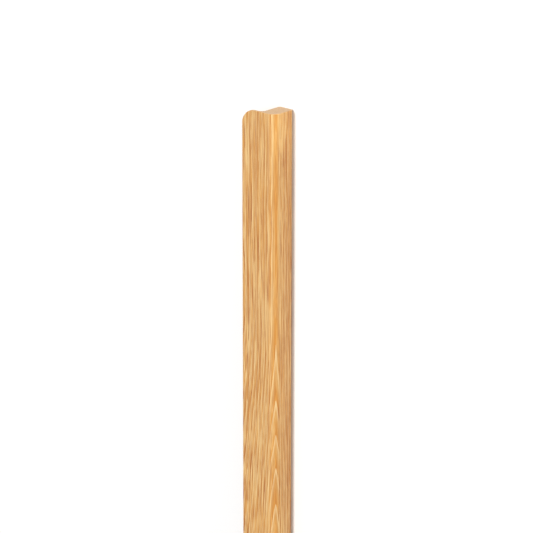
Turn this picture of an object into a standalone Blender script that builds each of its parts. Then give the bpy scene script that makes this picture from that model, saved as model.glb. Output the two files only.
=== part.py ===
"""Oak threshold strip with an L section, modelled as the glued-up pieces it is made of.

Metres, +Z up. X runs across the strip, with the outer side at +X and the tip of the
flange at -X. Y runs along it. The origin is under the middle of the strip, in the plane
that the leg stands on.
"""

import math

import bmesh
import bpy

# Driving dimensions
LENGTH = 1.000
WIDTH = 0.044
HEIGHT = 0.0285
LEG_WIDTH = 0.0185
FLANGE_THICKNESS = 0.0025
BOARD_THICKNESS = 0.008
NOSE_RADIUS = 0.0095
TIP_RADIUS = 0.0011
OUTER_FOOT_RADIUS = 0.0035
INNER_FOOT_RADIUS = 0.0026
CORNER_RADIUS = 0.017

TONGUE_WIDTH = 0.006
TONGUE_HEIGHT = 0.0054
TONGUE_STOP = 0.025

TAPE_WIDTH = 0.008
TAPE_THICKNESS = 0.0009
LINER_THICKNESS = 0.0003
TAPE_STOP = 0.012

GAP = 0.0003
ARC_STEP_DEGREES = 7.5
CUTTER_MARGIN = 0.004

# Places that follow from the driving dimensions
OUTER_X = WIDTH / 2
TIP_X = -WIDTH / 2
INNER_X = OUTER_X - LEG_WIDTH
LEG_MIDDLE_X = (OUTER_X + INNER_X) / 2
UNDERSIDE_Z = HEIGHT - FLANGE_THICKNESS
JOINT_Z = HEIGHT - BOARD_THICKNESS
BATTEN_TOP_Z = JOINT_Z - GAP
FILLET_RADIUS = BOARD_THICKNESS - FLANGE_THICKNESS
TAPE_BOTTOM_Z = LINER_THICKNESS + GAP
POCKET_DEPTH = TAPE_BOTTOM_Z + TAPE_THICKNESS + GAP


def clear_scene():
    for old in list(bpy.data.objects):
        bpy.data.objects.remove(old, do_unlink=True)


def make_collection(name):
    collection = bpy.data.collections.new(name)
    bpy.context.scene.collection.children.link(collection)
    return collection


def make_material(name, colour, roughness):
    material = bpy.data.materials.new(name)
    material.use_nodes = True
    shader = material.node_tree.nodes["Principled BSDF"]
    shader.inputs["Base Color"].default_value = (*colour, 1.0)
    shader.inputs["Roughness"].default_value = roughness
    shader.inputs["Metallic"].default_value = 0.0
    return material


def arc(centre_x, centre_y, radius, start, end):
    """Points of an arc between two angles in degrees, both ends included."""
    steps = max(2, round(abs(end - start) / ARC_STEP_DEGREES))
    points = []
    for index in range(steps + 1):
        angle = math.radians(start + (end - start) * index / steps)
        x = centre_x + radius * math.cos(angle)
        y = centre_y + radius * math.sin(angle)
        points.append((x, y))
    return points


def nose_angle(z):
    """Angle on the nose rounding, in degrees, at which it reaches a given height."""
    return math.degrees(math.asin((z - (HEIGHT - NOSE_RADIUS)) / NOSE_RADIUS))


def nose_arc(start, end):
    return arc(OUTER_X - NOSE_RADIUS, HEIGHT - NOSE_RADIUS, NOSE_RADIUS, start, end)


def extrude_outline(name, outline, depth, collection):
    """Closed mesh from a flat outline, extruded by half the depth to each side."""
    curve = bpy.data.curves.new(name + "_outline", "CURVE")
    curve.dimensions = "2D"
    curve.fill_mode = "BOTH"
    curve.extrude = depth / 2
    spline = curve.splines.new("POLY")
    spline.points.add(len(outline) - 1)
    for point, (x, y) in zip(spline.points, outline):
        point.co = (x, y, 0.0, 1.0)
    spline.use_cyclic_u = True
    guide = bpy.data.objects.new(name + "_guide", curve)
    collection.objects.link(guide)
    bpy.context.view_layer.update()
    evaluated = guide.evaluated_get(bpy.context.evaluated_depsgraph_get())
    mesh = bpy.data.meshes.new_from_object(evaluated)
    bpy.data.objects.remove(guide, do_unlink=True)
    bpy.data.curves.remove(curve)
    mesh.name = name
    shell = bmesh.new()
    shell.from_mesh(mesh)
    bmesh.ops.remove_doubles(shell, verts=shell.verts, dist=1e-6)
    bmesh.ops.recalc_face_normals(shell, faces=shell.faces)
    shell.to_mesh(mesh)
    shell.free()
    solid = bpy.data.objects.new(name, mesh)
    collection.objects.link(solid)
    return solid


def sweep_section(name, outline, length, collection, material):
    """Piece whose section, given as X and Z, runs along Y."""
    piece = extrude_outline(name, outline, length, collection)
    piece.rotation_euler = (math.radians(90), 0.0, 0.0)
    piece.data.materials.append(material)
    piece.data.shade_smooth()
    piece.data.set_sharp_from_angle(angle=math.radians(30))
    return piece


def rectangle(low_x, high_x, low_z, high_z):
    return [(low_x, low_z), (high_x, low_z), (high_x, high_z), (low_x, high_z)]


def box_cutter(name, size, centre, collection):
    mesh = bpy.data.meshes.new(name)
    shell = bmesh.new()
    bmesh.ops.create_cube(shell, size=1.0)
    bmesh.ops.scale(shell, vec=size, verts=shell.verts)
    shell.to_mesh(mesh)
    shell.free()
    cutter = bpy.data.objects.new(name, mesh)
    cutter.location = centre
    collection.objects.link(cutter)
    return cutter


def corner_cutter(name, end, collection):
    """Waste outside the rounded corner of the flange, at the +Y or the -Y end."""
    far_y = LENGTH / 2 + CUTTER_MARGIN
    centre_y = LENGTH / 2 - CORNER_RADIUS
    outline = arc(TIP_X + CORNER_RADIUS, centre_y, CORNER_RADIUS, 180, 90)
    outline.append((TIP_X + CORNER_RADIUS, far_y))
    outline.append((TIP_X - CUTTER_MARGIN, far_y))
    outline.append((TIP_X - CUTTER_MARGIN, centre_y))
    outline = [(x, end * y) for x, y in outline]
    cutter = extrude_outline(name, outline, FLANGE_THICKNESS + CUTTER_MARGIN, collection)
    cutter.location = (0.0, 0.0, HEIGHT - FLANGE_THICKNESS / 2)
    return cutter


def cut(piece, cutter):
    cutter.hide_render = True
    cutter.display_type = "WIRE"
    modifier = piece.modifiers.new(cutter.name, "BOOLEAN")
    modifier.operation = "DIFFERENCE"
    modifier.solver = "EXACT"
    modifier.object = cutter


def top_board_outline():
    """Board of the full width, thinned underneath to the flange, with a rounded nose."""
    tip_centre_x = TIP_X + TIP_RADIUS
    outline = nose_arc(nose_angle(JOINT_Z), 90)
    outline += arc(tip_centre_x, HEIGHT - TIP_RADIUS, TIP_RADIUS, 90, 180)
    outline += arc(tip_centre_x, UNDERSIDE_Z + TIP_RADIUS, TIP_RADIUS, 180, 270)
    outline += arc(INNER_X - FILLET_RADIUS, JOINT_Z, FILLET_RADIUS, 90, 0)
    return outline


def outer_batten_outline():
    """Outer half of the leg, which carries on the last of the nose rounding."""
    low_x = LEG_MIDDLE_X + GAP / 2
    outline = [(low_x, 0.0)]
    centre_x = OUTER_X - OUTER_FOOT_RADIUS
    outline += arc(centre_x, OUTER_FOOT_RADIUS, OUTER_FOOT_RADIUS, 270, 360)
    outline += nose_arc(0, nose_angle(BATTEN_TOP_Z))
    outline.append((low_x, BATTEN_TOP_Z))
    return outline


def inner_batten_outline():
    """Inner half of the leg, beside the space under the flange."""
    high_x = LEG_MIDDLE_X - GAP / 2
    outline = [(high_x, 0.0), (high_x, BATTEN_TOP_Z), (INNER_X, BATTEN_TOP_Z)]
    centre_x = INNER_X + INNER_FOOT_RADIUS
    outline += arc(centre_x, INNER_FOOT_RADIUS, INNER_FOOT_RADIUS, 180, 270)
    return outline


def tongue_outline():
    middle_z = JOINT_Z - GAP / 2
    low_x = LEG_MIDDLE_X - TONGUE_WIDTH / 2
    high_x = LEG_MIDDLE_X + TONGUE_WIDTH / 2
    return rectangle(low_x, high_x, middle_z - TONGUE_HEIGHT / 2, middle_z + TONGUE_HEIGHT / 2)


def tape_outline(low_z, thickness):
    low_x = LEG_MIDDLE_X - TAPE_WIDTH / 2
    high_x = LEG_MIDDLE_X + TAPE_WIDTH / 2
    return rectangle(low_x, high_x, low_z, low_z + thickness)


def build():
    clear_scene()
    parts = make_collection("threshold_strip")
    cutters = make_collection("cutters")

    face_oak = make_material("face_oak", (0.72, 0.40, 0.165), 0.5)
    outer_oak = make_material("outer_oak", (0.66, 0.36, 0.15), 0.5)
    inner_oak = make_material("inner_oak", (0.70, 0.42, 0.20), 0.55)
    beech = make_material("beech", (0.74, 0.50, 0.30), 0.6)
    acrylic_foam = make_material("acrylic_foam", (0.80, 0.80, 0.78), 0.7)
    liner_film = make_material("liner_film", (0.62, 0.50, 0.33), 0.45)

    tongue_length = LENGTH - 2 * TONGUE_STOP
    tape_length = LENGTH - 2 * TAPE_STOP

    groove_size = (TONGUE_WIDTH + 2 * GAP, tongue_length + 2 * GAP, TONGUE_HEIGHT + 2 * GAP)
    groove_centre = (LEG_MIDDLE_X, 0.0, JOINT_Z - GAP / 2)
    groove = box_cutter("tongue_groove", groove_size, groove_centre, cutters)

    pocket_size = (TAPE_WIDTH + 2 * GAP, tape_length + 2 * GAP, 2 * POCKET_DEPTH)
    pocket = box_cutter("tape_pocket", pocket_size, (LEG_MIDDLE_X, 0.0, 0.0), cutters)

    board = sweep_section("top_board", top_board_outline(), LENGTH, parts, face_oak)
    cut(board, groove)
    cut(board, corner_cutter("front_corner", 1, cutters))
    cut(board, corner_cutter("back_corner", -1, cutters))

    outer = sweep_section("outer_batten", outer_batten_outline(), LENGTH, parts, outer_oak)
    inner = sweep_section("inner_batten", inner_batten_outline(), LENGTH, parts, inner_oak)
    for batten in (outer, inner):
        cut(batten, groove)
        cut(batten, pocket)

    sweep_section("loose_tongue", tongue_outline(), tongue_length, parts, beech)
    tape = tape_outline(TAPE_BOTTOM_Z, TAPE_THICKNESS)
    sweep_section("mounting_tape", tape, tape_length, parts, acrylic_foam)
    liner = tape_outline(0.0, LINER_THICKNESS)
    sweep_section("release_liner", liner, tape_length, parts, liner_film)


build()
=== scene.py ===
"""Looks of an oak threshold strip with an L section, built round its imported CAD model.

Metres, +Z up. X runs across the strip, with the leg's outer side at +X, and Y along it.
Every piece is remodelled with fine roundings and eased ends, in the place and at the size
of its CAD node, except that the battens fill the gaps of the CAD's glue joints down to a
fine line. Each piece of oak has solid figure that runs through it, and the tongue, the tape
and the liner have materials of their own.
"""

import math

import bmesh
import bpy
from mathutils import Matrix, Vector


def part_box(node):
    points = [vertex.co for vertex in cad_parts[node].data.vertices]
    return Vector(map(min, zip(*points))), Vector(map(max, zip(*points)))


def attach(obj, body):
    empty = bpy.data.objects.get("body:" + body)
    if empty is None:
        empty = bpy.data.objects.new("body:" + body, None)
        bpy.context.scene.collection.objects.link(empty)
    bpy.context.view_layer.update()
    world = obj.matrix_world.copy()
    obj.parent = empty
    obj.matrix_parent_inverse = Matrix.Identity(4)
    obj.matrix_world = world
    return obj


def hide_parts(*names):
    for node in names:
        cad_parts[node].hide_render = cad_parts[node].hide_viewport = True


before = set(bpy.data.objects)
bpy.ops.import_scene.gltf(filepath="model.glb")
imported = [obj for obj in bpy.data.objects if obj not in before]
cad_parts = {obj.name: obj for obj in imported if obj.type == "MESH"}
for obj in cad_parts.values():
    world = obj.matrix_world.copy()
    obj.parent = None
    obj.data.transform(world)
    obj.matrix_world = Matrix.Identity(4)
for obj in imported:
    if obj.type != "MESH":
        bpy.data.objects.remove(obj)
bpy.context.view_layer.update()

# Shape of the section and of its ends, in metres, where the frame's boxes don't give it
FLANGE_THICKNESS = 0.0025
NOSE_RADIUS = 0.0095
TIP_RADIUS = 0.0011
OUTER_FOOT_RADIUS = 0.0035
INNER_FOOT_RADIUS = 0.0026
CORNER_RADIUS = 0.017
END_EASE = 0.0007

# Gaps between the pieces, and how far the pocket's cutter runs out of the foot, in metres
GLUE_LINE = 0.00003
CLEARANCE = 0.00015
POCKET_OVERRUN = 0.001

# Rounding of the edges of the thin strips, in metres, and the part of it that eases the ends
TONGUE_ROUNDING = 0.0006
TAPE_ROUNDING = 0.0002
LINER_ROUNDING = 0.0001
SLIP_EASE = 0.9

# Fineness of the meshes. An edge that turns by more than SHARP_ANGLE stays sharp, the flange's
# columns stop TIP_MARGIN tip radii short of its tip, and places nearer to each other than
# SAME_PLACE, in metres, are taken to be one.
ARC_STEP = math.radians(4)
SHARP_ANGLE = math.radians(25)
LENGTH_STEPS = 24
EASE_STEPS = 4
SLIP_STEPS = 5
FLAT_COLUMNS = 6
CURVED_COLUMNS = 30
TIP_MARGIN = 1.05
SAME_PLACE = 1e-6

# Places that the frame gives
board_low, board_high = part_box("top_board")
outer_low, outer_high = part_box("outer_batten")
inner_low, inner_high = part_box("inner_batten")
tongue_low, tongue_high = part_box("loose_tongue")
tape_low, tape_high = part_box("mounting_tape")
liner_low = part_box("release_liner")[0]

TOP_Z = board_high.z
UNDERSIDE_Z = TOP_Z - FLANGE_THICKNESS
JOINT_Z = board_low.z
OUTER_X = outer_high.x
INNER_X = inner_low.x
TIP_X = board_low.x
LEG_MIDDLE_X = (inner_high.x + outer_low.x) / 2
FOOT_Z = outer_low.z
END_Y = board_high.y
FILLET_RADIUS = UNDERSIDE_Z - JOINT_Z

# The materials measure in millimetres
MM_PER_METRE = 1000.0

# Where along the strip the rings begin to run out of the oak, and how gently they do
RUN_OUT_START = 243.0
RUN_OUT_BLEND = 90.0

# A ridge of the face board's trunk, which draws its rings into tongues along the nose. The
# angle and the depth say where its crest lies, seen from the tree's centre. Fewer fine lines
# show on it, and its rings are clearer and warmer.
RIDGE_ANGLE = math.radians(33)
RIDGE_DEPTH = 81.5
RIDGE_ROUNDING = 0.7
RIDGE_HALF_WIDTH = 4.0
RIDGE_CALM = 0.7
RIDGE_WARMTH = 0.5
RINGS_ON_RIDGE = 1.0
RINGS_ASIDE = 0.75
RINGS_WITHOUT_RIDGE = 0.8

# How much less the fibres run out than the rings do
FIBRE_STRAIGHTNESS = 0.65

# How far apart two seeds lie in the noises
SEED_SHIFT = (7.31, 3.17, 5.71)

# Noises in the oak, as features per millimetre across, along and up, and how far two of them
# bend the rings
DRIFT_SIZES = (0.01, 0.0052, 0.01)
WAVER_SIZES = (0.06, 0.016, 0.06)
WAVER_REACH = 1.4
TREMOR_SIZES = (0.3, 0.05, 0.3)
TREMOR_REACH = 0.35
CLOUD_SIZES = (0.05, 0.008, 0.05)
END_PORE_SIZES = (2.6, 0.4, 2.6)
SAW_MARK_SIZES = (3.5, 0.1, 0.12)

# The same for what follows the rings, as features per millimetre through, along and round
DASH_SIZES = (2.2, 0.034, 0.55)
FIBRE_SIZES = (1.8, 0.018, 0.4)

# The parts of a year's growth over which its pale start fades and its end deepens
EARLY_SPAN = (0.03, 0.34)
LATE_SPAN = (0.3, 0.93)

# Where in a noise's values its pattern begins and where it is full
CLOUD_SPAN = (0.42, 0.68)
PORE_SPAN = (0.51, 0.6)
LIGHT_STREAK_SPAN = (0.5, 0.6)
DARK_STREAK_SPAN = (0.5, 0.62)
END_PORE_SPAN = (0.6, 0.7)

# How much of a face's direction lies along the strip where sawn wood begins and is full
SAWN_SPAN = (0.75, 0.96)

# Display colours of the oak, from 0 to 255, and how strongly its patterns show
BODY = (206, 162, 102)
CREAM = (228, 198, 146)
PALE = (225, 192, 135)
HONEY = (211, 157, 83)
ORANGE = (208, 146, 68)
BROWN = (176, 112, 56)
DEEP = (156, 86, 38)
# Tint multiplied over the wood near the tree's centre, a painted shade that darkens the outer batten
# towards its foot
PAINTED_SHADE_TINT = (243, 239, 244)
END_LIGHT = (209, 174, 138)
END_DARK = (190, 152, 112)
END_PORE = (167, 125, 86)
PALE_SHARE = 0.95
BROWN_SHARE = 0.85
PORE_SHARE = 0.95
END_BAND_SHARE = 0.3
END_PORE_SHARE = 0.3

# Depths of the pores in pale wood and of the saw marks, as shares of that of a full pore
EARLY_PORE_DEPTH = 0.4
SAW_MARK_DEPTH = 0.6

# Gloss and relief of the oak, with the relief in metres. Pores and sawn ends are rougher than
# the rest by their own values.
OAK_GLOSS = 0.35
OAK_ROUGHNESS = 0.46
PORE_ROUGHNESS = 0.22
SAWN_ROUGHNESS = 0.2
OAK_RELIEF = 0.00006
OAK_RELIEF_STRENGTH = 0.5

# The camera looks down along the strip's nose, with the strip upright in its view. It stands
# turned about the strip's length to the outer side, and tilted towards the +Y end.
CAMERA_TARGET = Vector((0.01145, 0.3395, TOP_Z))
CAMERA_DISTANCE = 2.803
CAMERA_TURN = math.radians(42.07)
CAMERA_TILT = math.radians(19.1)
CAMERA_LENS = 187.4
CAMERA_SENSOR = 36.0
CAMERA_SIGHT = 20.0

# Light: a high lamp past the +Y end, a warm one at the outer side, and a small low one that
# picks out the last of the side face and the sawn end
WORLD_STRENGTH = 0.45
OVERHEAD_PLACE = (-0.53, 1.6, 5.0)
OVERHEAD_AIM = (0.0, -1.4, 0.0)
OVERHEAD_SIZE = 0.78
OVERHEAD_POWER = 207.0
FILL_PLACE = (2.5, 1.2, 0.5)
FILL_AIM = (0.0, 0.25, 0.0)
FILL_SIZE = 1.0
FILL_POWER = 30.0
FILL_COLOUR = (1.0, 0.91, 0.75)
SPOT_PLACE = (0.33, 0.66, 0.05)
SPOT_ANGLE = math.radians(16)
SPOT_SIZE = 0.02
SPOT_POWER = 1.5
SPOT_COLOUR = (0.85, 1.0, 0.86)

FLOOR_SIZE = 12.0
FLOOR_DARK = (0.88, 0.88, 0.88, 1.0)
FLOOR_LIGHT = (0.89, 0.89, 0.89, 1.0)


# ---------------------------------------------------------------- shapes

def arc(centre_x, centre_z, radius, start, end, steps=None):
    """Points of an arc between two angles in radians, both ends included."""
    if steps is None:
        steps = max(3, math.ceil(abs(end - start) / ARC_STEP))
    points = []
    for index in range(steps + 1):
        angle = start + (end - start) * index / steps
        points.append((centre_x + radius * math.cos(angle), centre_z + radius * math.sin(angle)))
    return points


def nose_angle(z):
    """Angle on the nose rounding at which it reaches a given height."""
    return math.asin((z - (TOP_Z - NOSE_RADIUS)) / NOSE_RADIUS)


def nose_arc(start, end):
    """Points of the nose rounding between two angles."""
    return arc(OUTER_X - NOSE_RADIUS, TOP_Z - NOSE_RADIUS, NOSE_RADIUS, start, end)


def flange_columns():
    """Places across the flange, from the nose to the tip, close together at the corner."""
    corner_x = TIP_X + CORNER_RADIUS
    start_x = OUTER_X - NOSE_RADIUS
    flat = []
    for step in range(1, FLAT_COLUMNS + 1):
        flat.append(start_x + (corner_x - start_x) * step / FLAT_COLUMNS)
    curved = []
    for step in range(1, CURVED_COLUMNS):
        x = corner_x - CORNER_RADIUS * math.sin(math.pi / 2 * step / CURVED_COLUMNS)
        if x > TIP_X + TIP_RADIUS * TIP_MARGIN:
            curved.append(x)
    return flat, curved


def end_reach(x):
    """How far the end lies from the middle at a place across the strip."""
    into_corner = TIP_X + CORNER_RADIUS - x
    if into_corner <= 0:
        return END_Y
    drop = CORNER_RADIUS - math.sqrt(max(0.0, CORNER_RADIUS ** 2 - into_corner ** 2))
    return END_Y - drop


def outward_normals(outline, flat_x=None, flat_z=None):
    """Outward direction at each point. Glued faces at flat_x or flat_z don't move."""
    normals = []
    count = len(outline)
    for index, (x, z) in enumerate(outline):
        before = outline[index - 1]
        after = outline[(index + 1) % count]
        first = Vector((z - before[1], before[0] - x)).normalized()
        second = Vector((after[1] - z, x - after[0])).normalized()
        normal = (first + second).normalized()
        if flat_z is not None and abs(z - flat_z) < SAME_PLACE:
            normal = Vector((math.copysign(1.0, normal.x), 0.0))
        if flat_x is not None and abs(x - flat_x) < SAME_PLACE:
            at_joint = abs(z - JOINT_Z) < 2 * GLUE_LINE
            normal = Vector((0.0, 0.0 if at_joint else math.copysign(1.0, normal.y)))
        normals.append(normal)
    return normals


def stations():
    """Steps along a piece, from its -Y end to its +Y end.

    Each is how far along it lies, from -1 to 1, and which shares of the ends' easing it is
    drawn in by from the sides and from the end.
    """
    rounded = []
    for step in range(EASE_STEPS + 1):
        angle = math.pi / 2 * step / EASE_STEPS
        rounded.append((1 - math.cos(angle), 1 - math.sin(angle)))
    rows = [(-1.0, inset, setback) for inset, setback in reversed(rounded)]
    for step in range(1, LENGTH_STEPS):
        rows.append((-1.0 + 2.0 * step / LENGTH_STEPS, 0.0, 1.0))
    rows += [(1.0, inset, setback) for inset, setback in rounded]
    return rows


def sweep(name, outline, normals, ladder=None, end_y=None, ease=END_EASE):
    """Solid with a section, given as X and Z anticlockwise, along Y and with eased ends.

    ladder gives pairs of outline places, top and underside, from the corner to the tip,
    between which the rounded end wall of the flange is closed. A piece that stops short of
    the strip's ends has its own end_y.
    """
    shell = bmesh.new()
    rows = []
    for share, inset, setback in stations():
        ring = []
        for (x, z), normal in zip(outline, normals):
            reach = (end_y or end_reach(x)) - ease * setback
            place = (
                x - normal.x * ease * inset,
                share * reach,
                z - normal.y * ease * inset,
            )
            ring.append(shell.verts.new(place))
        rows.append(ring)
    count = len(outline)
    for low, high in zip(rows, rows[1:]):
        for index in range(count):
            after = (index + 1) % count
            shell.faces.new((low[index], low[after], high[after], high[index]))
    for ring in (rows[0], rows[-1]):
        if ladder is None:
            shell.faces.new(ring)
            continue
        for (top, under), (next_top, next_under) in zip(ladder, ladder[1:]):
            if next_top == next_under:
                shell.faces.new((ring[top], ring[next_top], ring[under]))
            else:
                corners = (top, next_top, next_under, under)
                shell.faces.new([ring[corner] for corner in corners])
        first_top, first_under = ladder[0]
        planar = [ring[index] for index in range(first_top + 1)]
        planar += [ring[index] for index in range(first_under, count)]
        shell.faces.new(planar)
    bmesh.ops.recalc_face_normals(shell, faces=shell.faces)
    mesh = bpy.data.meshes.new(name)
    shell.to_mesh(mesh)
    shell.free()
    piece = bpy.data.objects.new(name, mesh)
    bpy.context.scene.collection.objects.link(piece)
    return piece


def cut_box(piece, low, high):
    """Cuts a box out of a piece and applies the cut."""
    shell = bmesh.new()
    bmesh.ops.create_cube(shell, size=1.0)
    bmesh.ops.scale(shell, vec=high - low, verts=shell.verts)
    bmesh.ops.translate(shell, vec=(low + high) / 2, verts=shell.verts)
    mesh = bpy.data.meshes.new("waste")
    shell.to_mesh(mesh)
    shell.free()
    cutter = bpy.data.objects.new("waste", mesh)
    bpy.context.scene.collection.objects.link(cutter)
    modifier = piece.modifiers.new("cut", "BOOLEAN")
    modifier.operation = "DIFFERENCE"
    modifier.solver = "EXACT"
    modifier.object = cutter
    apply_modifiers(piece)
    bpy.data.objects.remove(cutter, do_unlink=True)
    bpy.data.meshes.remove(mesh)


def apply_modifiers(piece):
    """Gives a piece the mesh that its modifiers make of it."""
    bpy.context.view_layer.update()
    evaluated = piece.evaluated_get(bpy.context.evaluated_depsgraph_get())
    finished = bpy.data.meshes.new_from_object(evaluated)
    old = piece.data
    piece.modifiers.clear()
    piece.data = finished
    finished.name = old.name
    bpy.data.meshes.remove(old)


def cut_groove(piece):
    """Cuts the groove that the tongue lies in."""
    clearance = Vector((CLEARANCE, CLEARANCE, CLEARANCE))
    cut_box(piece, tongue_low - clearance, tongue_high + clearance)


def cut_pocket(piece):
    """Cuts the shallow pocket that the tape and its liner lie in, out through the foot."""
    low = Vector((tape_low.x - CLEARANCE, tape_low.y - CLEARANCE, liner_low.z - POCKET_OVERRUN))
    clearance = Vector((CLEARANCE, CLEARANCE, CLEARANCE))
    cut_box(piece, low, tape_high + clearance)


def shade(piece):
    """Smooth shading across the roundings, with the flat faces left flat."""
    piece.data.shade_smooth()
    piece.data.set_sharp_from_angle(angle=SHARP_ANGLE)
    weighting = piece.modifiers.new("weighted_normals", "WEIGHTED_NORMAL")
    weighting.keep_sharp = True
    weighting.mode = "FACE_AREA"
    apply_modifiers(piece)


def finish_piece(piece, node, material):
    """Gives a piece its material, hangs it under the root body and hides its CAD node."""
    piece.data.materials.clear()
    piece.data.materials.append(material)
    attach(piece, "root")
    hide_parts(node)


def make_top_board(material):
    """Board of the full width, thinned underneath to the flange, with a rounded nose."""
    nose = nose_arc(nose_angle(JOINT_Z), math.pi / 2)
    flat, curved = flange_columns()
    columns = flat + curved
    tip_x = TIP_X + TIP_RADIUS
    outline = list(nose)
    outline += [(x, TOP_Z) for x in columns]
    tip_start = len(outline)
    outline += arc(tip_x, TOP_Z - TIP_RADIUS, TIP_RADIUS, math.pi / 2, math.pi)
    outline += arc(tip_x, UNDERSIDE_Z + TIP_RADIUS, TIP_RADIUS, math.pi, 3 * math.pi / 2)
    tip_end = len(outline)
    fillet_x = INNER_X - FILLET_RADIUS
    under = [x for x in columns if x < fillet_x - SAME_PLACE]
    outline += [(x, UNDERSIDE_Z) for x in reversed(under)]
    outline += arc(fillet_x, JOINT_Z, FILLET_RADIUS, math.pi / 2, 0.0)
    corner_top = len(nose) + len(flat) - 1
    corner_under = tip_end + len(curved)
    ladder = [(corner_top + step, corner_under - step) for step in range(len(curved) + 1)]
    tip_count = (tip_end - tip_start) // 2
    ladder += [(tip_start + step, tip_end - 1 - step) for step in range(tip_count)]
    piece = sweep("oak_top_board", outline, outward_normals(outline, flat_z=JOINT_Z), ladder)
    cut_groove(piece)
    shade(piece)
    finish_piece(piece, "top_board", material)


def make_outer_batten(material):
    """Outer half of the leg, which carries on the last of the nose rounding."""
    low_x = LEG_MIDDLE_X + GLUE_LINE / 2
    top_z = JOINT_Z - GLUE_LINE
    outline = [(low_x, FOOT_Z)]
    radius = OUTER_FOOT_RADIUS
    outline += arc(OUTER_X - radius, FOOT_Z + radius, radius, -math.pi / 2, 0.0)
    outline += nose_arc(0.0, nose_angle(top_z))
    outline.append((low_x, top_z))
    normals = outward_normals(outline, flat_x=low_x, flat_z=top_z)
    piece = sweep("oak_outer_batten", outline, normals)
    cut_groove(piece)
    cut_pocket(piece)
    shade(piece)
    finish_piece(piece, "outer_batten", material)


def make_inner_batten(material):
    """Inner half of the leg, beside the space under the flange."""
    high_x = LEG_MIDDLE_X - GLUE_LINE / 2
    top_z = JOINT_Z - GLUE_LINE
    outline = [(high_x, FOOT_Z), (high_x, top_z), (INNER_X, top_z)]
    radius = INNER_FOOT_RADIUS
    outline += arc(INNER_X + radius, FOOT_Z + radius, radius, math.pi, 3 * math.pi / 2)
    normals = outward_normals(outline, flat_x=high_x, flat_z=top_z)
    piece = sweep("oak_inner_batten", outline, normals)
    cut_groove(piece)
    cut_pocket(piece)
    shade(piece)
    finish_piece(piece, "inner_batten", material)


def make_slip(name, node, radius, material):
    """Thin strip with rounded edges and ends, in the box of its CAD node."""
    low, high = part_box(node)
    quarter = math.pi / 2
    corners = (
        (high.x - radius, high.z - radius),
        (low.x + radius, high.z - radius),
        (low.x + radius, low.z + radius),
        (high.x - radius, low.z + radius),
    )
    outline = []
    for index, (x, z) in enumerate(corners):
        outline += arc(x, z, radius, quarter * index, quarter * (index + 1), SLIP_STEPS)
    normals = outward_normals(outline)
    piece = sweep(name, outline, normals, end_y=high.y, ease=radius * SLIP_EASE)
    shade(piece)
    finish_piece(piece, node, material)


# ---------------------------------------------------------------- materials

def linear(red, green, blue):
    """Linear colour from display values of 0 to 255."""
    channels = []
    for value in (red, green, blue):
        share = value / 255
        if share <= 0.04045:
            channels.append(share / 12.92)
        else:
            channels.append(((share + 0.055) / 1.055) ** 2.4)
    return (*channels, 1.0)


class Graph:
    """Short names for the nodes that a material is wired from."""

    def __init__(self, name):
        self.material = bpy.data.materials.new(name)
        self.material.use_nodes = True
        self.tree = self.material.node_tree
        self.shader = self.tree.nodes["Principled BSDF"]
        coordinates = self.tree.nodes.new("ShaderNodeTexCoord")
        self.place = self.scaled(coordinates.outputs["Object"], (MM_PER_METRE,) * 3)
        self.normal = coordinates.outputs["Normal"]

    def wire(self, source, socket):
        """Feeds a socket from another node, or sets it to a constant."""
        if isinstance(source, (int, float, tuple)):
            socket.default_value = source
        else:
            self.tree.links.new(source, socket)

    def maths(self, operation, first, second=0.0, third=0.0):
        node = self.tree.nodes.new("ShaderNodeMath")
        node.operation = operation
        for source, socket in zip((first, second, third), node.inputs):
            self.wire(source, socket)
        return node.outputs[0]

    def vector(self, operation, first, second):
        node = self.tree.nodes.new("ShaderNodeVectorMath")
        node.operation = operation
        self.wire(first, node.inputs[0])
        self.wire(second, node.inputs[1])
        return node.outputs[0]

    def scaled(self, source, factors):
        return self.vector("MULTIPLY", source, factors)

    def moved(self, source, shift):
        return self.vector("ADD", source, shift)

    def split(self, source):
        node = self.tree.nodes.new("ShaderNodeSeparateXYZ")
        self.wire(source, node.inputs[0])
        return node.outputs

    def joined(self, x, y, z):
        node = self.tree.nodes.new("ShaderNodeCombineXYZ")
        for source, socket in zip((x, y, z), node.inputs):
            self.wire(source, socket)
        return node.outputs[0]

    def noise(self, source, factors, detail=2.0, roughness=0.5, shift=(0.0, 0.0, 0.0)):
        """Noise about 0.5, with features of about 1 / factor millimetres each way."""
        node = self.tree.nodes.new("ShaderNodeTexNoise")
        node.inputs["Scale"].default_value = 1.0
        node.inputs["Detail"].default_value = detail
        node.inputs["Roughness"].default_value = roughness
        self.wire(self.moved(self.scaled(source, factors), shift), node.inputs["Vector"])
        return node.outputs[0]

    def swing(self, source, reach):
        """A value about 0.5 turned into one about 0 that reaches about this far."""
        return self.maths("MULTIPLY", self.maths("SUBTRACT", source, 0.5), reach)

    def between(self, source, low, high):
        """0 at low and under, 1 at high and over, smooth between."""
        node = self.tree.nodes.new("ShaderNodeMapRange")
        node.interpolation_type = "SMOOTHSTEP"
        self.wire(source, node.inputs["Value"])
        node.inputs["From Min"].default_value = low
        node.inputs["From Max"].default_value = high
        return node.outputs["Result"]

    def mix(self, share, first, second, blend="MIX"):
        """The second colour laid over the first by its share."""
        node = self.tree.nodes.new("ShaderNodeMix")
        node.data_type = "RGBA"
        node.blend_type = blend
        self.wire(share, node.inputs[0])

        # The colour sockets come after the node's sockets for numbers and vectors
        self.wire(first, node.inputs[6])
        self.wire(second, node.inputs[7])
        return node.outputs[2]

    def bump(self, height, distance, strength):
        """Relief of the surface from a height pattern, with its depth in metres."""
        node = self.tree.nodes.new("ShaderNodeBump")
        node.inputs["Strength"].default_value = strength
        node.inputs["Distance"].default_value = distance
        self.wire(height, node.inputs["Height"])
        self.wire(node.outputs[0], self.shader.inputs["Normal"])


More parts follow.
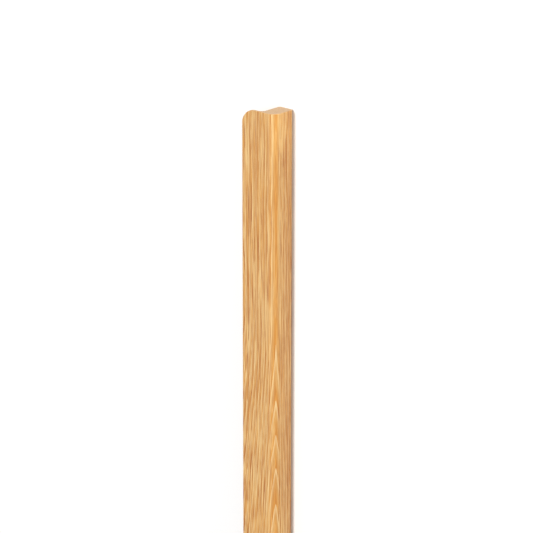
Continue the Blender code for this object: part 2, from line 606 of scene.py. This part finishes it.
def ring_depth(graph, place, pith, slope, wander, shift):
    """Where a place lies in the tree, in millimetres.

    Gives its depth from the tree's centre as the rings have it, how much of that is from the
    rings running out of the strip, and its way round the tree from the ridge.
    """
    x, y, z = place
    start = graph.maths("SUBTRACT", RUN_OUT_START, y)
    run_out = graph.maths("SMOOTH_MAX", start, 0.0, RUN_OUT_BLEND)
    run_out = graph.maths("MULTIPLY", run_out, slope)
    across = graph.maths("SUBTRACT", x, pith[0])
    up = graph.maths("SUBTRACT", z, pith[1])
    squares = graph.maths("ADD", graph.maths("POWER", across, 2.0), graph.maths("POWER", up, 2.0))
    depth = graph.maths("ADD", graph.maths("SQRT", squares), run_out)
    drift = graph.swing(graph.noise(graph.place, DRIFT_SIZES, 1.0, 0.5, shift), wander)
    waver = graph.swing(graph.noise(graph.place, WAVER_SIZES, 2.0, 0.5, shift), WAVER_REACH)
    tremor = graph.swing(graph.noise(graph.place, TREMOR_SIZES, 2.0, 0.5, shift), TREMOR_REACH)
    for bend in (drift, waver, tremor):
        depth = graph.maths("ADD", depth, bend)
    turn = graph.maths("SUBTRACT", graph.maths("ARCTAN2", up, across), RIDGE_ANGLE)
    round_way = graph.maths("MULTIPLY", turn, RIDGE_DEPTH)
    return depth, run_out, round_way


def ridge_share(graph, round_way):
    """1 on the crest of the trunk's ridge, falling away to both sides."""
    squares = graph.maths("MULTIPLY_ADD", round_way, round_way, RIDGE_ROUNDING ** 2)
    aside = graph.maths("SUBTRACT", graph.maths("SQRT", squares), RIDGE_ROUNDING)
    return graph.maths("EXPONENT", graph.maths("DIVIDE", aside, -RIDGE_HALF_WIDTH))


def sawn_wood(graph, late, shift):
    """Colour and relief of oak sawn across, and the share of it that shows.

    The same rings show as faint bands in paler wood with fine open pores and saw marks.
    """
    pores = graph.noise(graph.place, END_PORE_SIZES, 1.0, 0.5, shift)
    pores = graph.between(pores, *END_PORE_SPAN)
    band = graph.maths("MULTIPLY", late, END_BAND_SHARE)
    colour = graph.mix(band, linear(*END_LIGHT), linear(*END_DARK))
    pore_share = graph.maths("MULTIPLY", pores, END_PORE_SHARE)
    colour = graph.mix(pore_share, colour, linear(*END_PORE))
    saw_marks = graph.noise(graph.place, SAW_MARK_SIZES, 1.0, 0.5, shift)
    relief = graph.maths("MULTIPLY_ADD", saw_marks, -SAW_MARK_DEPTH, pores)
    facing = graph.maths("ABSOLUTE", graph.split(graph.normal)[1])
    share = graph.between(facing, *SAWN_SPAN)
    return colour, relief, share


def oak(name, pith, ring, slope, wander, seed, warmth, boldness, stretch=1.0, ridge=0.0, shade_depths=None):
    """Solid oak, with its sizes in millimetres.

    pith is the tree's centre in X and Z, and ring the width of a year's growth. slope is how
    fast the rings run out of the strip away from its +Y end, and wander how far they waver.
    warmth is the share of honey-coloured patches, boldness the strength of the lines, and
    stretch the length of the fibres. ridge is how far the rings stand out along a ridge of
    the trunk. shade_depths is the pair of depths between which a painted shade ends: wood
    nearer the tree's centre is darkened, which darkens the outer batten towards its foot.
    """
    graph = Graph(name)
    shift = tuple(seed * step for step in SEED_SHIFT)
    place = graph.split(graph.place)
    depth, run_out, round_way = ring_depth(graph, place, pith, slope, wander, shift)
    calm = 1.0
    clear = RINGS_WITHOUT_RIDGE
    if ridge:
        crest = ridge_share(graph, round_way)
        depth = graph.maths("ADD", depth, graph.maths("MULTIPLY", crest, ridge))
        calm = graph.maths("MULTIPLY_ADD", crest, -RIDGE_CALM, 1.0)
        clear = graph.maths("MULTIPLY_ADD", crest, RINGS_ON_RIDGE - RINGS_ASIDE, RINGS_ASIDE)

    # Each year starts pale, deepens, and ends at a sharp edge
    season = graph.maths("FRACT", graph.maths("DIVIDE", depth, ring))
    early = graph.maths("SUBTRACT", 1.0, graph.between(season, *EARLY_SPAN))
    late = graph.between(season, *LATE_SPAN)

    # Fibres and open pores follow the rings in long lines, but run out less than they do
    straightened = graph.maths("MULTIPLY", run_out, FIBRE_STRAIGHTNESS)
    grown = graph.joined(graph.maths("SUBTRACT", depth, straightened), place[1], round_way)
    dash_sizes = (DASH_SIZES[0], DASH_SIZES[1] / stretch, DASH_SIZES[2] / stretch)
    dashes = graph.noise(grown, dash_sizes, 2.0, 0.6, shift)
    pores = graph.maths("MULTIPLY", graph.between(dashes, *PORE_SPAN), calm)
    pore_depth = graph.maths("MULTIPLY_ADD", late, 1.0 - EARLY_PORE_DEPTH, EARLY_PORE_DEPTH)
    grooves = graph.maths("MULTIPLY", pores, pore_depth)
    fibre_sizes = (FIBRE_SIZES[0], FIBRE_SIZES[1] / stretch, FIBRE_SIZES[2] / stretch)
    fibres = graph.noise(grown, fibre_sizes, 3.0, 0.7, shift)
    light_streaks = graph.maths("MULTIPLY", graph.between(fibres, *LIGHT_STREAK_SPAN), calm)
    dark_streaks = graph.between(graph.maths("SUBTRACT", 1.0, fibres), *DARK_STREAK_SPAN)
    dark_streaks = graph.maths("MULTIPLY", dark_streaks, calm)

    # Each coat of colour shows by its share over the ones before it
    clouds = graph.noise(graph.place, CLOUD_SIZES, 1.0, 0.5, shift)
    clouds = graph.between(clouds, *CLOUD_SPAN)
    coats = [(clouds, warmth, HONEY)]
    if ridge:
        coats.append((crest, RIDGE_WARMTH, ORANGE))
    coats.append((late, clear, ORANGE))
    coats.append((early, clear, CREAM))
    coats.append((light_streaks, PALE_SHARE * boldness, PALE))
    coats.append((dark_streaks, BROWN_SHARE * boldness, BROWN))
    coats.append((grooves, PORE_SHARE * boldness, DEEP))
    colour = linear(*BODY)
    for pattern, strength, coat in coats:
        colour = graph.mix(graph.maths("MULTIPLY", pattern, strength), colour, linear(*coat))
    # Painted shade: wood nearer the tree's centre is darkened by a tint, which darkens the outer
    # batten's lower part towards the floor
    if shade_depths:
        share = graph.maths("SUBTRACT", 1.0, graph.between(depth, *shade_depths))
        colour = graph.mix(share, colour, linear(*PAINTED_SHADE_TINT), "MULTIPLY")

    end_colour, end_relief, sawn = sawn_wood(graph, late, shift)
    colour = graph.mix(sawn, colour, end_colour)
    graph.wire(colour, graph.shader.inputs["Base Color"])
    rough = graph.maths("MULTIPLY_ADD", grooves, PORE_ROUGHNESS, OAK_ROUGHNESS)
    rough = graph.maths("ADD", rough, graph.maths("MULTIPLY", sawn, SAWN_ROUGHNESS))
    graph.wire(rough, graph.shader.inputs["Roughness"])
    graph.shader.inputs["Specular IOR Level"].default_value = OAK_GLOSS
    relief = graph.maths("ADD", grooves, graph.maths("MULTIPLY", sawn, end_relief))
    graph.bump(graph.maths("SUBTRACT", 0.0, relief), OAK_RELIEF, OAK_RELIEF_STRENGTH)
    return graph.material


def beech(name):
    """Plain beech with short flecks."""
    graph = Graph(name)
    light = linear(222, 182, 140)
    dark = linear(206, 160, 116)
    fleck = linear(176, 124, 84)
    fleck_sizes = (1.6, 0.25, 1.6)
    streak_sizes = (0.5, 0.02, 0.5)
    flecks = graph.between(graph.noise(graph.place, fleck_sizes, 2.0), 0.55, 0.66)
    streaks = graph.noise(graph.place, streak_sizes, 2.0)
    colour = graph.mix(streaks, light, dark)
    colour = graph.mix(graph.maths("MULTIPLY", flecks, 0.5), colour, fleck)
    graph.wire(colour, graph.shader.inputs["Base Color"])
    graph.shader.inputs["Roughness"].default_value = 0.6
    graph.bump(flecks, distance=0.00003, strength=0.4)
    return graph.material


def foam(name):
    """White foam with fine cells."""
    graph = Graph(name)
    light = linear(236, 236, 232)
    dark = linear(214, 214, 208)
    cell_sizes = (4.0, 4.0, 4.0)
    cells = graph.noise(graph.place, cell_sizes, 2.0)
    graph.wire(graph.mix(cells, light, dark), graph.shader.inputs["Base Color"])
    graph.shader.inputs["Roughness"].default_value = 0.75
    graph.bump(cells, distance=0.00008, strength=0.6)
    return graph.material


def liner_film(name):
    """Slightly wavy film with a haze on it."""
    graph = Graph(name)
    light = linear(226, 206, 166)
    dark = linear(208, 184, 140)
    haze_sizes = (0.12, 0.03, 0.12)
    wave_sizes = (0.08, 0.02, 0.08)
    haze = graph.noise(graph.place, haze_sizes, 3.0)
    waves = graph.noise(graph.place, wave_sizes, 2.0)
    graph.wire(graph.mix(haze, light, dark), graph.shader.inputs["Base Color"])
    graph.wire(graph.maths("MULTIPLY_ADD", haze, 0.2, 0.3), graph.shader.inputs["Roughness"])
    graph.bump(waves, distance=0.0003, strength=0.4)
    return graph.material


# ---------------------------------------------------------------- surroundings

def make_floor():
    """Pale floor that the strip stands on."""
    bpy.ops.mesh.primitive_plane_add(size=FLOOR_SIZE, location=(0.0, 0.0, FOOT_Z))
    floor = bpy.context.object
    floor.name = "floor"
    graph = Graph("floor_white")
    patch_sizes = (0.004, 0.004, 0.004)
    patches = graph.noise(graph.place, patch_sizes, 1.0)
    colour = graph.mix(patches, FLOOR_DARK, FLOOR_LIGHT)
    graph.wire(colour, graph.shader.inputs["Base Color"])
    graph.shader.inputs["Roughness"].default_value = 0.9
    graph.shader.inputs["Specular IOR Level"].default_value = 0.1
    floor.data.materials.append(graph.material)


def add_lamp(data, power, colour, place, target):
    """Hangs a lamp in a place and turns it to its target."""
    data.energy = power
    data.color = colour
    lamp = bpy.data.objects.new(data.name, data)
    lamp.location = place
    lamp.rotation_mode = "QUATERNION"
    lamp.rotation_quaternion = (Vector(target) - Vector(place)).to_track_quat("-Z", "Y")
    bpy.context.scene.collection.objects.link(lamp)


def make_area_light(name, place, target, size, power, colour=(1.0, 1.0, 1.0)):
    """Square lamp that shines on its target."""
    data = bpy.data.lights.new(name, "AREA")
    data.shape = "SQUARE"
    data.size = size
    add_lamp(data, power, colour, place, target)


def make_end_spot():
    """Small low lamp that picks out the last of the side face and the sawn end."""
    data = bpy.data.lights.new("end_spot", "SPOT")
    data.spot_size = SPOT_ANGLE
    data.spot_blend = 1.0
    data.shadow_soft_size = SPOT_SIZE
    add_lamp(data, SPOT_POWER, SPOT_COLOUR, SPOT_PLACE, (OUTER_X, END_Y, JOINT_Z))


def make_world():
    """Even white light from all round."""
    world = bpy.data.worlds.new("studio")
    world.use_nodes = True
    background = world.node_tree.nodes["Background"]
    background.inputs["Color"].default_value = (1.0, 1.0, 1.0, 1.0)
    background.inputs["Strength"].default_value = WORLD_STRENGTH
    bpy.context.scene.world = world


def make_camera():
    """Camera that turns and tilts about its target."""
    back = Vector((
        math.cos(CAMERA_TILT) * math.sin(CAMERA_TURN),
        math.sin(CAMERA_TILT),
        math.cos(CAMERA_TILT) * math.cos(CAMERA_TURN),
    ))
    right = Vector((math.cos(CAMERA_TURN), 0.0, -math.sin(CAMERA_TURN)))
    up = back.cross(right)
    data = bpy.data.cameras.new("camera")
    data.lens = CAMERA_LENS
    data.sensor_width = CAMERA_SENSOR
    data.clip_end = CAMERA_SIGHT
    camera = bpy.data.objects.new("camera", data)
    matrix = Matrix((right, up, back)).transposed()
    camera.rotation_mode = "QUATERNION"
    camera.rotation_quaternion = matrix.to_quaternion()
    camera.location = CAMERA_TARGET + back * CAMERA_DISTANCE
    bpy.context.scene.collection.objects.link(camera)
    bpy.context.scene.camera = camera


# ---------------------------------------------------------------- the strip

make_camera()
make_world()
make_area_light("overhead", OVERHEAD_PLACE, OVERHEAD_AIM, OVERHEAD_SIZE, OVERHEAD_POWER)
make_area_light("side_fill", FILL_PLACE, FILL_AIM, FILL_SIZE, FILL_POWER, FILL_COLOUR)
make_end_spot()
make_floor()

face_oak = oak(
    "oak_face",
    pith=(-47.9, -20.2),
    ring=3.0,
    slope=0.076,
    wander=2.2,
    seed=1.0,
    warmth=0.6,
    boldness=1.0,
    stretch=1.3,
    ridge=1.9,
)
# The outer batten's oak carries a painted shade that darkens it towards its foot
outer_oak = oak(
    "oak_outer",
    pith=(-60.0, -40.0),
    ring=2.1,
    slope=0.006,
    wander=3.0,
    seed=2.0,
    warmth=0.3,
    boldness=0.75,
    shade_depths=(92.0, 102.0),
)
inner_oak = oak(
    "oak_inner",
    pith=(70.0, 40.0),
    ring=2.4,
    slope=0.01,
    wander=4.0,
    seed=3.0,
    warmth=0.3,
    boldness=0.8,
)
make_top_board(face_oak)
make_outer_batten(outer_oak)
make_inner_batten(inner_oak)

make_slip("beech_tongue", "loose_tongue", TONGUE_ROUNDING, beech("beech"))
make_slip("foam_tape", "mounting_tape", TAPE_ROUNDING, foam("acrylic_foam"))
make_slip("film_liner", "release_liner", LINER_ROUNDING, liner_film("liner_film"))

bpy.context.scene.view_settings.view_transform = "Standard"
